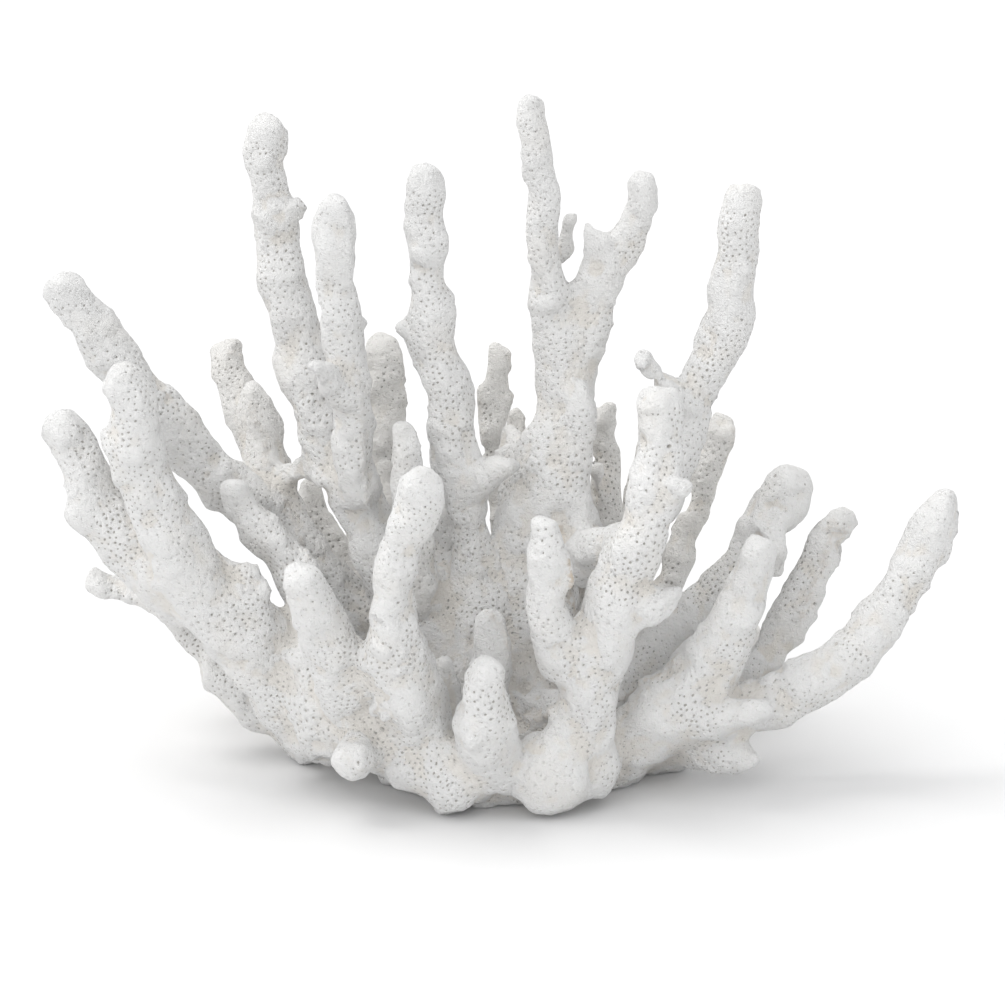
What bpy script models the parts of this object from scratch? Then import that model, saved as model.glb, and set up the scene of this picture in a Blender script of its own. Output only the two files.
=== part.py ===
"""A white branching coral colony, cut off flat where it grew on the rock.

A low base spreads into long, lumpy, finger-like branches with blunt tips. The colony is
modelled as one grown whole and is then sawn through at its main forks, so that each limb
is a solid of its own. X is to the right, Y is away from the viewer and Z is up, and the
origin is the middle of the footprint on the ground. Routes are in millimetres.
"""
import math

import bmesh
import bpy
from mathutils import Matrix, Vector, noise
from mathutils.bvhtree import BVHTree

MM = 0.001

# Where the branches were measured from
LOOK_AT = Vector((-2.0, 0.0, 103.0))
EYE_DISTANCE = 1200.0
EYE_ELEVATION = math.radians(14.0)
MIDDLE_ACROSS = -2.0
MIDDLE_UP = 97.9

# The base
HUB_HALF_WIDTH = 56.0
HUB_HALF_DEPTH = 47.0
HUB_HALF_HEIGHT = 17.0
HUB_CENTRE_HEIGHT = 8.0
HUB_SUBDIVISIONS = 4
ROCK_WIDTH = 600.0
ROCK_DEPTH = 100.0

# The grown surface
RING_SIDES = 12
RING_STEP = 3.0
BROAD_LUMP = 21.0
BROAD_LUMP_HEIGHT = 0.10
SMALL_LUMP = 9.0
SMALL_LUMP_HEIGHT = 0.06
TIP_RINGS = (0.5, 0.8, 0.95)
TIP_SQUARENESS = 3.2
STEEP_LEAN = 0.8
GROWTH_CELL = 1.6
FILLET_PASSES = 5
WHOLE_TRIANGLES = 6500

# The saw cuts
SAW_GAP = 0.3
SAW_SIDES = 24
SAW_REACH = 1.22
CRUMB_VOLUME = 30.0
WELD = 0.01

# Colours of the limbs that the front view shows, and of those behind
FRONT_WHITE = (0.88, 0.87, 0.86)
REAR_WHITE = (0.84, 0.83, 0.81)

# Limbs that become pieces of their own, from root to tip. A point is (across, up, back, radius):
# across and up as seen from the front, back as the true depth. saw is the place of the cut,
# counted in points along the route; flat is the depth of a blade over its width.
LIMBS = {
    "centre_trunk": {
        "saw": 4.3, "saw_centre": (15.0, 99.0, 12.0), "saw_radius": 24.0, "saw_level": True,
        "route": [
            (4, 29, 5, 16.5), (6, 48, 8, 17.5), (8, 66, 12, 18), (10.5, 84, 14, 17),
            (13.5, 102.5, 15, 15.5), (16.5, 117, 16, 13.5), (20, 132, 18, 11), (21, 146, 18, 10.5),
        ],
    },
    "tallest_branch": {
        "saw": 3.1,
        "route": [
            (21, 141, 18, 9.5), (18.5, 153.5, 18, 9), (16, 164.5, 18, 7.7), (14.5, 174, 17, 7.3),
            (13, 183, 16, 6.6), (13, 194, 15, 6.6), (13, 205, 14, 6.2), (12, 216, 13, 5.9),
            (11, 227, 12, 5.9), (9.5, 236, 11, 5.1), (9, 244, 10, 4.8),
        ],
    },
    "tall_right_fork": {
        "saw": 3.0,
        "route": [
            (22, 144.5, 19, 9.5), (25.5, 155.5, 20, 9.2), (30, 166.5, 20, 8.1), (33, 177.5, 20, 7.7),
            (36, 186, 19, 7.7), (42.5, 192, 18, 6.6), (46.5, 198.5, 17, 5.5), (48, 207, 15, 5.5),
            (48.5, 214, 14, 4.9),
        ],
    },
    "behind_trunk_branch": {
        "saw": 2.6,
        "route": [
            (12, 24, 20, 12), (19, 40, 30, 9), (30, 62, 42, 7), (34.5, 82, 48, 5.9),
            (36, 99, 52, 5.5), (36, 110, 54, 5.5), (35.5, 121, 55, 4.8), (35, 130.5, 56, 4.2),
        ],
    },
    "thin_back_branch": {
        "saw": 2.95, "flat": 0.6,
        "route": [
            (8, 66, 20, 10), (4, 78, 34, 7.5), (2, 84, 40, 6.3), (-2, 99, 45, 6), (-5, 117, 50, 5.6),
            (-4.5, 128, 53, 6), (-4, 137, 55, 6), (-4, 146.5, 56, 5.6), (-4, 151.5, 57, 4.8),
        ],
    },
    "centre_left_branch": {
        "saw": 2.0,
        "route": [
            (-11, 58.5, 0, 11), (-12.5, 71.5, 2, 8.4), (-14, 84, 3, 6.6), (-15.5, 97, 3, 7.3),
            (-18.5, 110, 3, 9.2), (-21, 121, 4, 9.2), (-21, 131, 5, 9.2), (-22.5, 140, 5, 8.4),
            (-25.5, 149.5, 6, 7.7), (-27.5, 159, 6, 8.8), (-28, 167.5, 6, 8.8), (-28.5, 176.5, 6, 7.3),
            (-30, 185.5, 6, 6.4), (-29.5, 193.5, 6, 8.1), (-30.5, 201.5, 6, 6.2), (-31, 209.5, 5, 6.8),
            (-30, 216.5, 5, 6.2),
        ],
    },
    "left_tall_branch": {
        "saw": 1.7,
        "route": [
            (-35, 47.5, 8, 11), (-41.5, 66, 9, 10.2), (-47, 80.5, 10, 10.2), (-52.5, 93.5, 11, 10.2),
            (-59, 105.5, 12, 10.6), (-64.5, 117, 14, 9.9), (-68.5, 128, 15, 9.5), (-72, 139, 16, 9.5),
            (-75, 150, 17, 9.2), (-76.5, 161, 18, 9.2), (-80, 171, 19, 9.5), (-82, 179.5, 20, 9.9),
            (-82.5, 186.5, 20, 8.4), (-84, 194, 20, 7.3), (-85.5, 203, 20, 8.4), (-86.5, 209.5, 20, 7.3),
            (-88, 218, 20, 6.6), (-88.5, 227, 19, 7.7), (-88, 233.5, 18, 7.3),
        ],
    },
    "left_tall_front_fork": {
        "saw": 1.65,
        "route": [
            (-53.5, 99, 2, 9.2), (-56.5, 113.5, -2, 7.7), (-57, 126.5, -5, 7), (-57.5, 137.5, -7, 7.3),
            (-59, 146.5, -9, 7), (-61, 157.5, -11, 7.3), (-62, 170, -12, 7.3), (-63, 181, -13, 7.3),
            (-64, 191.5, -14, 7.5), (-62.5, 199.5, -15, 6.8), (-62, 204, -16, 6.4),
        ],
    },
    "behind_left_tall_branch": {
        "saw": 2.35,
        "route": [
            (-33, 58, 18, 11), (-38, 68, 26, 9.5), (-41.5, 77, 32, 8), (-44, 95, 40, 7.3),
            (-46, 110, 48, 7.3), (-45.5, 121, 53, 7.5), (-44.5, 131, 56, 7.5), (-44.5, 141, 58, 6.8),
            (-45, 149.5, 60, 6.2), (-45, 153.5, 61, 6.4),
        ],
    },
    "centre_stub": {
        "saw": 2.3,
        "route": [
            (-31, 60, 0, 10), (-33, 69, -6, 8.8), (-34, 77, -10, 8), (-35, 91.5, -12, 7.3),
            (-36.5, 106, -14, 6.2), (-37, 115.5, -14, 5.5), (-37.5, 123.5, -15, 4.8),
        ],
    },
    "front_left_branch": {
        "saw": 3.85,
        "route": [
            (-25, 2, -32, 14), (-30.5, 14.5, -42, 14.3), (-36, 25.5, -50, 13.9), (-40.5, 38.5, -57, 12.1),
            (-41.5, 51, -62, 9.9), (-42, 62, -64, 8.8), (-40.5, 73, -66, 7.7), (-39.5, 82.5, -68, 7.5),
            (-36, 90.5, -69, 7.9), (-32, 97.5, -70, 8.8), (-32, 102.5, -71, 8.2),
        ],
    },
    "front_left_stub": {
        "saw": 3.7,
        "route": [
            (-45, 7.5, -28, 12.5), (-51, 18.5, -36, 12.8), (-58, 30, -44, 12.1), (-63, 41.5, -51, 11),
            (-68, 52.5, -58, 9.5), (-72, 61.5, -63, 8.1), (-74.5, 69.5, -67, 6.8),
        ],
    },
    "left_branch": {
        "saw": 3.5, "saw_radius": 17.0,
        "route": [
            (-59.5, 9, -8, 13), (-68, 14.5, -10, 13.5), (-77, 24.5, -13, 14.3), (-87.5, 39.5, -17, 14.4),
            (-99, 55, -21, 15), (-111, 66.5, -24, 14.3), (-120, 78.5, -27, 13.2), (-126.5, 93.5, -30, 12.1),
            (-131, 103.5, -32, 11), (-135, 112.5, -33, 11), (-137.5, 121, -35, 11.7), (-137, 129, -37, 9.2),
            (-138.5, 137, -38, 8.4), (-141.5, 142.5, -39, 6.6),
        ],
    },
    "left_outer_branch": {
        "saw": 2.6,
        "route": [
            (-116.5, 65, -20, 12), (-131, 76, -18, 12.1), (-142.5, 88, -17, 11.3), (-151, 99, -16, 10.6),
            (-153.5, 106, -16, 9.5), (-157, 114.5, -16, 8.1), (-162, 123, -16, 8.4),
        ],
    },
    "left_outer_spur": {
        "saw": 1.0,
        "route": [
            (-109, 57, -6, 7), (-124, 61, 7, 5.4), (-138, 65.5, 15, 5), (-150, 69, 19, 4.3),
        ],
    },
    "left_low_branch": {
        "saw": 1.2,
        "route": [
            (-67, 9, 12, 11), (-80, 17.5, 16, 9.5), (-92.5, 25.5, 24, 8.8), (-109, 44, 30, 6.6),
            (-120, 55, 32, 6), (-125.5, 64, 34, 5),
        ],
    },
    "left_long_branch": {
        "saw": 2.2,
        "route": [
            (-36, 28, 10, 14), (-48.5, 42, 15, 11), (-59.5, 60.5, 18, 9.9), (-71.5, 75, 20, 9.5),
            (-81.5, 86, 20, 9.9), (-90, 94.5, 19, 10.2), (-101.5, 103.5, 17, 10.2), (-112.5, 112.5, 15, 9.2),
            (-121, 123.5, 13, 8.8), (-126.5, 132.5, 11, 8.1), (-133, 140.5, 10, 8.1), (-145, 151.5, 8, 9.2),
            (-150, 160.5, 7, 8.1), (-156.5, 169.5, 6, 7), (-161.5, 175, 5, 7),
        ],
    },
    "left_back_fork": {
        "saw": 2.0, "saw_centre": (-87.5, 114.0, 39.0), "saw_radius": 12.5,
        "route": [
            (-80, 91.5, 24, 8.8), (-84, 102.5, 30, 8.8), (-88.5, 113.5, 36, 8.8), (-90, 124.5, 38, 7.3),
            (-91.5, 132.5, 38, 5.9), (-93.5, 137.5, 38, 3.8),
        ],
    },
    "left_inner_branch": {
        "saw": 3.45,
        "route": [
            (-53, 24, -20, 12), (-58, 36, -23, 9.5), (-64.5, 47.5, -23, 8), (-73, 62, -12, 7.8),
            (-80.5, 76, -5, 7.7), (-87, 84, -3, 7.3), (-93, 91, -2, 7), (-97.5, 96.5, -2, 6),
            (-99, 101.5, -3, 4.6),
        ],
    },
    "left_back_branch": {
        "saw": 2.25,
        "route": [
            (-38, 40, 20, 12), (-44, 48, 29, 10), (-50, 56.5, 36, 8), (-58, 69.5, 44, 7.3),
            (-64.5, 80.5, 50, 6.4), (-70, 91, 54, 5.3), (-72, 98, 56, 4.9), (-72, 102.5, 57, 4.2),
        ],
    },
    "front_centre_stub": {
        "saw": 3.6,
        "route": [
            (-3, -2, -45, 10), (-5, 0.5, -50, 10.2), (-7.5, 9, -58, 10.6), (-9, 18.5, -64, 11.3),
            (-9, 26.5, -68, 8.8), (-9, 34, -71, 7),
        ],
    },
    "front_inner_blade": {
        "saw": 0.95, "flat": 0.5,
        "route": [
            (-5, 18.5, -28, 8), (-7, 33, -30, 7.3), (-7, 43, -32, 7.3), (-7, 53, -33, 6.8),
        ],
    },
    "front_right_branch": {
        "saw": 2.1,
        "route": [
            (22, 2, -38, 12.8), (25, 11, -42, 12.4), (27.5, 22, -45, 11.7), (30.5, 35, -48, 11.3),
            (34, 47.5, -50, 11.3), (38, 59.5, -51, 11), (43, 71.5, -52, 11), (47.5, 81.5, -53, 10.6),
            (51, 91, -53, 10.2), (53.5, 99.5, -53, 9.9), (55.5, 108.5, -52, 9), (55.5, 118, -51, 8.4),
            (56, 126.5, -50, 8.1), (55.5, 133.5, -49, 7.5),
        ],
    },
    "front_right_prong": {
        "saw": 2.1,
        "route": [
            (24.5, 33, -50, 9), (20, 43, -54, 8.8), (16, 53, -57, 8.1), (14.5, 62, -58, 7.7),
            (15, 73, -59, 7.3), (14.5, 81.5, -60, 6.2), (13, 88.5, -60, 4.9),
        ],
    },
    "right_tall_branch": {
        "saw": 2.3,
        "route": [
            (36, 78, -13, 9), (44.5, 76, -11, 9), (50, 88, -4, 8.4), (55.5, 99, 0, 7.7),
            (60, 110, 4, 7.3), (63.5, 119, 7, 7.3), (66.5, 129, 9, 7.3), (69, 138, 10, 7.7),
            (75, 151, 11, 9), (79.5, 160.5, 12, 9), (82, 170, 12, 8.5), (83, 179.5, 12, 8.3),
            (84, 188, 12, 8), (85.5, 197.5, 12, 7.5), (85.5, 206.5, 12, 7.2),
        ],
    },
    "right_back_branch": {
        "saw": 2.1,
        "route": [
            (24, 22, 22, 12), (38, 40, 32, 9), (48.5, 56.5, 38, 6.5), (58.5, 69.5, 46, 5.5),
            (63, 79.5, 50, 5.1), (65, 88, 52, 5.1), (68, 96, 54, 5.3), (71.5, 104.5, 55, 5.9),
            (74.5, 113.5, 56, 5.9), (77, 121, 56, 5.9), (78.5, 126.5, 56, 4.8),
        ],
    },
    "right_upper_branch": {
        "saw": 2.1,
        "route": [
            (24, 12, 0, 14), (37.5, 27.5, 0, 10.5), (48.5, 37.5, 6, 9.2), (58.5, 47.5, 10, 8.8), (70.5, 58.5, 14, 8.1),
            (80.5, 70.5, 17, 7.3), (88, 80, 18, 7.3), (94, 89.5, 19, 8.4), (99, 97.5, 20, 9.2),
            (103, 103.5, 20, 7.9),
        ],
    },
    "right_branch": {
        "saw": 4.45,
        "route": [
            (33.5, 3.5, -20, 12), (46.5, 11.5, -22, 12.4), (56.5, 20, -24, 13.2), (65, 27.5, -25, 12.8),
            (72.5, 36.5, -25, 12.1), (78.5, 46, -25, 11), (83, 55, -25, 9.5), (86.5, 63.5, -25, 8.1),
            (89.5, 72, -25, 7.5), (91, 80, -26, 6.8),
        ],
    },
    "right_blade": {
        "saw": 2.7, "flat": 0.5,
        "route": [
            (64, 19, -16, 10), (70, 22, -10, 9), (76, 25, -4, 8), (86.5, 33, 4, 8.1),
            (95, 40.5, 9, 8.2), (101.5, 49.5, 13, 8.6), (106, 58.5, 16, 8.8), (110, 67.5, 18, 8.6),
            (113.5, 77, 20, 8.4), (117, 84, 21, 8), (121, 89.5, 22, 7.4),
        ],
    },
    "far_right_branch": {
        "saw": 2.7,
        "route": [
            (57.5, 15.5, -18, 9.5), (70.5, 17.5, -20, 9.9), (83, 21, -20, 9.9), (96, 25, -19, 9.9),
            (107, 29.5, -18, 10.2), (117, 35.5, -17, 9.9), (125, 42, -16, 9.2), (132.5, 49.5, -15, 8.8),
            (139, 58, -14, 8.4), (144.5, 66, -13, 8.1), (149, 74.5, -12, 8.8), (152.5, 82, -11, 8.1),
            (156.5, 89.5, -10, 7.9), (159.5, 96, -10, 6.8),
        ],
    },
    "rear_left_branch": {
        "saw": 1.75,
        "route": [
            (-20, 16, 22, 14), (-36, 24, 44, 11.5), (-56, 33, 62, 10), (-75, 42, 76, 9),
            (-92, 53, 87, 8.5), (-105, 62, 95, 8),
        ],
    },
    "rear_left_fork": {
        "saw": 0.8,
        "route": [
            (-75, 42, 76, 9), (-98, 56, 68, 8.5), (-111, 64, 63, 8), (-120, 70, 60, 8),
        ],
    },
    "rear_tall_branch": {
        "saw": 0.95,
        "route": [
            (-30, 36, 34, 12), (-40, 60, 60, 10), (-48, 85, 76, 9), (-55, 108, 82, 8), (-60, 128, 84, 7),
        ],
    },
    "rear_low_branch": {
        "saw": 1.1,
        "route": [
            (0, 20, 30, 14), (-5, 32, 56, 12), (-10, 46, 80, 11), (-15, 60, 100, 10),
        ],
    },
    "rear_centre_branch": {
        "saw": 1.6,
        "route": [
            (8, 50, 20, 13), (8, 62, 45, 11), (9, 72, 68, 10), (8, 85, 95, 9),
        ],
    },
    "rear_trunk_branch": {
        "saw": 1.5,
        "route": [
            (10, 62, 20, 13), (16, 84, 44, 9.5), (20, 108, 62, 8), (20, 130, 76, 8), (20, 150, 85, 8),
        ],
    },
    "rear_right_branch": {
        "saw": 1.2,
        "route": [
            (22, 24, 30, 13), (34, 48, 56, 10.5), (44, 76, 74, 9), (51, 100, 80, 8), (55, 120, 85, 7),
        ],
    },
    "rear_right_low_branch": {
        "saw": 1.2,
        "route": [
            (32, 18, 30, 12), (50, 27, 48, 10), (68, 38, 65, 9), (83, 47, 80, 8),
        ],
    },
}

# Lumps, spurs and webs that stay part of the limb they grow from
GROWTHS = [
    # the mass between the left limbs, and the web behind it
    {"route": [(-25, 48, 5, 14), (-28.5, 62, 8, 13)]},
    {"route": [(-23, 66, 15, 9), (-24, 80.5, 18, 7.5), (-25, 93, 20, 5)]},
    {"route": [(-12, 24, 4, 18), (-22, 38, 5, 16)]},
    # the wall below the centre left branch, and the mass between the left limbs
    {"route": [(-14, 18, -10, 16), (-14, 30, -6, 15), (-12, 45, -3, 13), (-10, 58, 0, 11)]},
    {"route": [(-60, 12, -22, 14), (-66, 22, -26, 15), (-71, 34, -29, 11.5), (-73, 40, -30, 8)]},
    # the floor of the recess in front of the trunk
    {"route": [(8, 20, -8, 10), (13, 20, -14, 10), (18, 20, -18, 10)]},
    # the lobes along the front of the base
    {"route": [(-34, 5, -38, 13), (-33, 3, -43, 12)]},
    {"route": [(-21, 2, -38, 15), (-21, 0, -46, 14.5)]},
    {"route": [(14, 2, -36, 15), (15.5, -0.5, -45.5, 14.5)]},
    {"route": [(28, 5, -30, 14), (30, 3, -37, 12.5)]},
    # the right foot
    {"route": [(48, 4.5, -2, 8), (58.5, 2, 0, 7)]},
    # the trunk's shoulder, its front ridge and a nub behind it
    {"route": [(6, 110, 21, 8), (1.5, 115, 26, 8), (0, 121, 30, 5)]},
    {"route": [(29, 73, 2, 8.8), (27, 86, 4, 8.1), (25, 97, 6, 7), (24, 108, 7, 6.6), (25, 119, 8, 6.4),
               (25.5, 130, 9, 6.2), (25, 138, 8, 5.1)]},
    {"route": [(34, 95, 50, 4), (32.5, 104.5, 44, 3.6), (32.5, 110, 42, 2.8)]},
    {"route": [(19, 186, 24, 3.5), (21, 194, 26, 3.5), (22.5, 200.5, 26, 3)]},
    {"route": [(35, 186, 17, 5.5), (32, 191, 15, 4.8), (30, 196.5, 14, 3.3)]},
    # the small tip behind the trunk
    {"route": [(8, 75, 66, 7), (6, 95, 68, 5), (5, 110, 70, 4), (4, 121, 74, 3.7), (3.5, 129, 76, 3.1)]},
    # stubs and nubs of the centre and left tall branches
    {"route": [(-14.5, 103, 0, 6.6), (-7.5, 108, -4, 5.5), (-1.5, 111, -7, 4.4)]},
    {"route": [(-32, 160, 6, 5), (-38, 162, 5, 3.5)]},
    {"route": [(-80.5, 204, 15, 4.8), (-76, 207, 13, 3.7)]},
    {"route": [(-58, 163, -10, 4.5), (-52.5, 164.5, -8, 2.6)]},
    {"route": [(-58, 136, -10, 6.2), (-63.5, 141.5, -17, 5.5), (-68, 145, -23, 4.4), (-71.5, 147, -28, 3.1)]},
    # the front left group
    {"route": [(-40.5, 38.5, -58, 8), (-47, 38.5, -60, 7)]},
    {"route": [(-47.5, 9, -38, 9), (-53.5, 6.5, -50, 8.4), (-57, 5.5, -58, 7.7)]},
    {"route": [(-42, 22, -52, 5), (-46.5, 23, -58, 3.7)]},
    # the left group
    {"route": [(-80, 17.5, 16, 9), (-94.5, 27.5, 19, 8.8), (-107, 35, 21, 6.6)]},
    {"route": [(-99, 58, -24, 7), (-90, 62, -24, 5.5), (-92, 69, -22, 5), (-93.5, 73, -21, 4.2)]},
    {"route": [(-88, 112, 38, 7.5), (-89.5, 115.5, 42, 7.3), (-94.5, 126.5, 46, 7.3), (-98, 135.5, 49, 7.3),
               (-101.5, 144.5, 52, 7.3), (-103, 151, 54, 5.9)]},
    # the front centre
    {"route": [(-18, 14, -26, 6), (-20.5, 25.5, -30, 4), (-22.5, 37.5, -34, 3.7)]},
    # the front right branch's spur and knob
    {"route": [(45.5, 58, -52, 7), (54, 61, -54, 5.5), (61, 63.5, -56, 3.7)]},
    {"route": [(55, 102, -55, 6), (60, 102.5, -58, 4.5), (63, 103.5, -61, 4)]},
    # the right group
    {"route": [(66, 135.5, 5, 5.5), (57.5, 140, 0, 4.8), (54, 145, -3, 4), (50, 149.5, -6, 3.7)]},
    {"route": [(94, 89, 15, 6), (95.5, 87, 11, 5), (99.5, 80.5, 8, 4.5), (98.5, 74.5, 7, 3.8)]},
    {"route": [(151, 77, -12, 5), (156.5, 77, -10, 4.5), (159.5, 78.5, -8, 2.9)]},
    {"route": [(66.5, 17.5, -30, 8), (78.5, 19.5, -34, 6.8), (86.5, 20.5, -36, 5.9), (92, 21, -38, 4.2)]},
    {"route": [(50, 6.5, -4, 7), (61, 7.5, -10, 6.6), (72, 6, -18, 6.6), (81, 4.5, -24, 6.8), (87, 3.5, -26, 5.4)]},
    # two bridges between limbs, which are sawn through too
    {"saw": 1.75, "route": [(24.5, 75, -2, 9), (33.5, 79, -15, 9.5), (44, 80.5, -35, 9.5), (47, 80, -50, 9)]},
    {"saw": 1.0, "route": [(-82.5, 105, 28, 5), (-76, 110.5, 22, 4.5), (-69.5, 110, 16, 5)]},
]


def seen(across, up, back):
    """The true place of a point, in mm, and its distance from the eye over the middle's."""
    view = Vector((0.0, math.cos(EYE_ELEVATION), -math.sin(EYE_ELEVATION)))
    rise = Vector((0.0, math.sin(EYE_ELEVATION), math.cos(EYE_ELEVATION)))
    eye = LOOK_AT - view * EYE_DISTANCE
    sight = LOOK_AT + Vector((across - MIDDLE_ACROSS, 0.0, 0.0)) + rise * (up - MIDDLE_UP) - eye
    stretch = (back - eye.y) / sight.y
    return eye + sight * stretch, stretch


def placed(route):
    """A route as (centre, radius) in metres."""
    points = []
    for across, up, back, radius in route:
        centre, stretch = seen(across, up, back)
        points.append((centre * MM, radius * stretch * MM))
    return points


def on_route(points, place):
    """Centre, radius and direction at a place counted in points, on a smooth curve through them."""
    index = max(0, min(int(place), len(points) - 2))
    part = place - index
    near = [points[max(0, min(index + step, len(points) - 1))] for step in (-1, 0, 1, 2)]
    square = part * part
    cube = square * part
    weights = (
        (-part + 2 * square - cube) / 2,
        (2 - 5 * square + 3 * cube) / 2,
        (part + 4 * square - 3 * cube) / 2,
        (cube - square) / 2,
    )
    slopes = (
        (-1 + 4 * part - 3 * square) / 2,
        (9 * square - 10 * part) / 2,
        (1 + 8 * part - 9 * square) / 2,
        (3 * square - 2 * part) / 2,
    )
    centre = sum((weight * point[0] for weight, point in zip(weights, near)), Vector())
    direction = sum((slope * point[0] for slope, point in zip(slopes, near)), Vector())
    radius = points[index][1] * (1 - part) + points[index + 1][1] * part
    return centre, radius, direction.normalized()


def lumpy(centre, arm):
    """The arm from a limb's centre line to its skin, swollen or pinched by the coral's lumps."""
    place = centre + arm
    broad = noise.noise(place / (BROAD_LUMP * MM))
    small = noise.noise(place / (SMALL_LUMP * MM))
    return arm * (1 + BROAD_LUMP_HEIGHT * broad + SMALL_LUMP_HEIGHT * small)


def add_limb(shape, route, flat=1.0):
    """A closed lumpy tube along a route, with a blunt tip."""
    points = placed(route)
    overall = (points[-1][0] - points[0][0]).normalized()
    depth_guide = Vector((0, 1, 0))
    if abs(overall.y) > STEEP_LEAN:
        depth_guide = Vector((0, 0, 1))
    stations = []
    for index in range(len(points) - 1):
        length = (points[index + 1][0] - points[index][0]).length
        steps = max(1, round(length / (RING_STEP * MM)))
        stations += [on_route(points, index + step / steps) for step in range(steps)]
    tip, tip_radius, tip_direction = on_route(points, len(points) - 1)
    stations.append((tip, tip_radius, tip_direction))
    for reach in TIP_RINGS:
        narrowing = (1 - reach ** TIP_SQUARENESS) ** (1 / TIP_SQUARENESS)
        stations.append((tip + tip_direction * tip_radius * reach, tip_radius * narrowing, tip_direction))
    rings = []
    for centre, radius, direction in stations:
        side = direction.cross(depth_guide).normalized()
        depth = side.cross(direction).normalized()
        ring = []
        for corner in range(RING_SIDES):
            angle = math.tau * corner / RING_SIDES
            arm = side * math.cos(angle) * radius + depth * math.sin(angle) * radius * flat
            ring.append(shape.verts.new(centre + lumpy(centre, arm)))
        rings.append(ring)
    for lower, upper in zip(rings, rings[1:]):
        for corner in range(RING_SIDES):
            after = (corner + 1) % RING_SIDES
            shape.faces.new((lower[corner], lower[after], upper[after], upper[corner]))
    shape.faces.new(list(reversed(rings[0])))
    shape.faces.new(rings[-1])


def add_hub(shape):
    """The low rounded mass that the limbs grow from."""
    made = bmesh.ops.create_icosphere(shape, subdivisions=HUB_SUBDIVISIONS, radius=1.0)
    centre = Vector((0, 0, HUB_CENTRE_HEIGHT)) * MM
    halves = Vector((HUB_HALF_WIDTH, HUB_HALF_DEPTH, HUB_HALF_HEIGHT)) * MM
    for vertex in made["verts"]:
        arm = Vector((vertex.co.x * halves.x, vertex.co.y * halves.y, vertex.co.z * halves.z))
        vertex.co = centre + lumpy(centre, arm)


def object_from(shape, name):
    """A new object from a bmesh, which is freed."""
    bmesh.ops.recalc_face_normals(shape, faces=shape.faces)
    mesh = bpy.data.meshes.new(name)
    shape.to_mesh(mesh)
    shape.free()
    made = bpy.data.objects.new(name, mesh)
    bpy.context.scene.collection.objects.link(made)
    return made


def finished(made):
    """The object's mesh with its modifiers applied; the object itself is removed."""
    bpy.context.view_layer.update()
    graph = bpy.context.evaluated_depsgraph_get()
    mesh = bpy.data.meshes.new_from_object(made.evaluated_get(graph))
    bpy.data.objects.remove(made)
    return mesh


def islands_of(shape):
    """The separate closed skins of a bmesh, as lists of faces."""
    left = set(shape.faces)
    islands = []
    while left:
        first = left.pop()
        island = [first]
        to_search = [first]
        while to_search:
            face = to_search.pop()
            for edge in face.edges:
                for near in edge.link_faces:
                    if near in left:
                        left.remove(near)
                        island.append(near)
                        to_search.append(near)
        islands.append(island)
    return islands


def volume_of(faces):
    """Signed volume within a closed skin of triangles, in cubic metres."""
    total = 0.0
    for face in faces:
        a, b, c = (loop.vert.co for loop in face.loops)
        total += a.dot(b.cross(c)) / 6
    return total


def grown_whole():
    """The colony as one closed skin, before it is cut from the rock."""
    shape = bmesh.new()
    add_hub(shape)
    for limb in LIMBS.values():
        add_limb(shape, limb["route"], limb.get("flat", 1.0))
    for growth in GROWTHS:
        add_limb(shape, growth["route"])
    whole = object_from(shape, "whole")
    grow = whole.modifiers.new("grow together", "REMESH")
    grow.mode = "VOXEL"
    grow.voxel_size = GROWTH_CELL * MM
    fillet = whole.modifiers.new("fillets", "SMOOTH")
    fillet.iterations = FILLET_PASSES
    mesh = finished(whole)

    shape = bmesh.new()
    shape.from_mesh(mesh)
    bmesh.ops.triangulate(shape, faces=shape.faces)
    islands = sorted(islands_of(shape), key=len)
    for hollow in islands[:-1]:
        if volume_of(hollow) > 0:
            raise RuntimeError(f"a limb isn't attached near {hollow[0].verts[0].co / MM}")
        bmesh.ops.delete(shape, geom=hollow, context="FACES")
    loose = [vertex for vertex in shape.verts if not vertex.link_faces]
    bmesh.ops.delete(shape, geom=loose, context="VERTS")
    triangles = len(shape.faces)
    whole = object_from(shape, "whole")
    facets = whole.modifiers.new("facets", "DECIMATE")
    facets.ratio = WHOLE_TRIANGLES / triangles
    mesh = finished(whole)
    whole = bpy.data.objects.new("whole", mesh)
    bpy.context.scene.collection.objects.link(whole)
    return whole


def saw_disc(shape, centre, direction, radius):
    """One thin disc across a limb."""
    turn = direction.to_track_quat("Z", "Y").to_matrix().to_4x4()
    bmesh.ops.create_cone(
        shape, cap_ends=True, segments=SAW_SIDES, radius1=radius, radius2=radius,
        depth=SAW_GAP * MM, matrix=Matrix.Translation(centre) @ turn,
    )


def saw():
    """All the cuts at the forks, as one object."""
    shape = bmesh.new()
    for limb in list(LIMBS.values()) + GROWTHS:
        if "saw" not in limb:
            continue
        centre, radius, direction = on_route(placed(limb["route"]), limb["saw"])
        radius = limb["saw_radius"] * MM if "saw_radius" in limb else radius * SAW_REACH
        if "saw_centre" in limb:
            centre = seen(*limb["saw_centre"])[0] * MM
        if limb.get("saw_level"):
            direction = Vector((0, 0, 1))
        saw_disc(shape, centre, direction, radius)
    return object_from(shape, "saw")


def rock():
    """The rock under the colony, which leaves the flat face that it rests on."""
    shape = bmesh.new()
    bmesh.ops.create_cube(shape, size=1.0)
    for vertex in shape.verts:
        vertex.co.x *= ROCK_WIDTH * MM
        vertex.co.y *= ROCK_WIDTH * MM
        vertex.co.z = 0.0 if vertex.co.z > 0 else -ROCK_DEPTH * MM
    return object_from(shape, "rock")


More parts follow.
